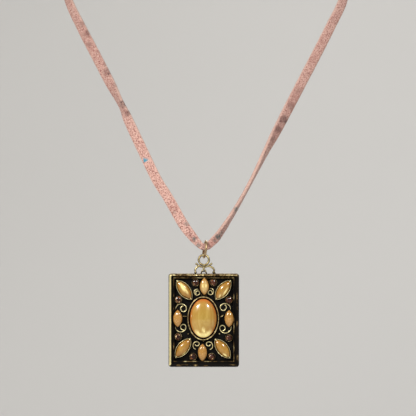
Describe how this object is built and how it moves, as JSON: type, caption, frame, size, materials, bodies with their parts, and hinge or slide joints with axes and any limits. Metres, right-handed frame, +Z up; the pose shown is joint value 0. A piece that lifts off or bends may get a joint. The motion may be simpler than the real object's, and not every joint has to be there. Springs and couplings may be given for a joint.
{
  "type": "pendant necklace",
  "caption": "Rectangular cast pendant set with amber cabochons and scrollwork, hung by a jump ring from a flat suede lace that closes with a lobster clasp.",
  "frame": {"origin": "middle of the neck opening, level with the base of the neck", "axes": "+Z up, the pendant faces -Y and hangs below and in front of the origin, +X is to the right of someone looking at the pendant's face"},
  "size_m": [0.112, 0.0939, 0.1849],
  "materials": {
    "suede": "rough suede, mottled",
    "brass": "antique, worn bright on the outside",
    "antique_brass": "antique cast brass, dark in the recesses",
    "dark_field": "black patina",
    "amber": "pearly gloss",
    "golden_orange": "pearly gloss",
    "peach": "glittery gloss",
    "champagne": "faceted",
    "spring_steel": "drawn"
  },
  "bodies": {
    "cord": {"neck_cord": "suede", "cord_end_left": "brass", "cord_end_right": "brass"},
    "jump_ring": {"pendant_jump_ring": "brass"},
    "pendant": {"bail_eye": "antique_brass", "crown_scrolls": "antique_brass", "frame_moulding": "antique_brass", "back_plate": "dark_field", "oval_bezel": "antique_brass", "oval_cabochon": "amber", "corner_bezel_top_left": "antique_brass", "corner_bezel_top_right": "antique_brass", "corner_bezel_bottom_left": "antique_brass", "corner_bezel_bottom_right": "antique_brass", "corner_navette_top_left": "golden_orange", "corner_navette_top_right": "golden_orange", "corner_navette_bottom_left": "golden_orange", "corner_navette_bottom_right": "golden_orange", "navette_seat_top": "antique_brass", "navette_seat_bottom": "antique_brass", "navette_seat_left": "antique_brass", "navette_seat_right": "antique_brass", "small_navette_top": "peach", "small_navette_bottom": "peach", "small_navette_left": "peach", "small_navette_right": "peach", "round_cups": "antique_brass", "round_stones": "champagne", "field_scrolls": "antique_brass", "spacer_beads": "antique_brass"},
    "left_ring": {"closing_ring_left": "brass"},
    "right_ring": {"closing_ring_right": "brass"},
    "clasp": {"clasp_body": "brass", "clasp_rivet": "brass", "clasp_spring": "spring_steel"},
    "lever": {"clasp_lever": "brass"}
  },
  "joints": [
    {"name": "ring_turns_on_lace", "type": "hinge", "parent": "cord", "child": "jump_ring", "pos_m": [0, -0.05, -0.12086], "axis": [0.9806, 0.1378, -0.1392], "range_deg": [-60, 60]},
    {"name": "pendant_swings_in_ring", "type": "hinge", "parent": "jump_ring", "child": "pendant", "pos_m": [-0.0004, -0.05, -0.1247], "axis": [0, 1, 0], "range_deg": [-45, 45]},
    {"name": "left_ring_turns", "type": "hinge", "parent": "cord", "child": "left_ring", "pos_m": [-0.0068, 0.038, 0.018], "axis": [0, 0, 1], "range_deg": [-60, 60]},
    {"name": "right_ring_turns", "type": "hinge", "parent": "cord", "child": "right_ring", "pos_m": [0.0068, 0.038, 0.018], "axis": [0, 0, 1], "range_deg": [-60, 60]},
    {"name": "clasp_rolls", "type": "hinge", "parent": "cord", "child": "clasp", "pos_m": [-0.00425, 0.038, 0.018], "axis": [1, 0, 0], "range_deg": [-10, 10]},
    {"name": "lever_opens", "type": "hinge", "parent": "clasp", "child": "lever", "pos_m": [0.0007, 0.038, 0.0193], "axis": [0, 1, 0], "range_deg": [0, 20], "stiffness_Nm_per_rad": 0.002, "springref_deg": -11.46}
  ]
}
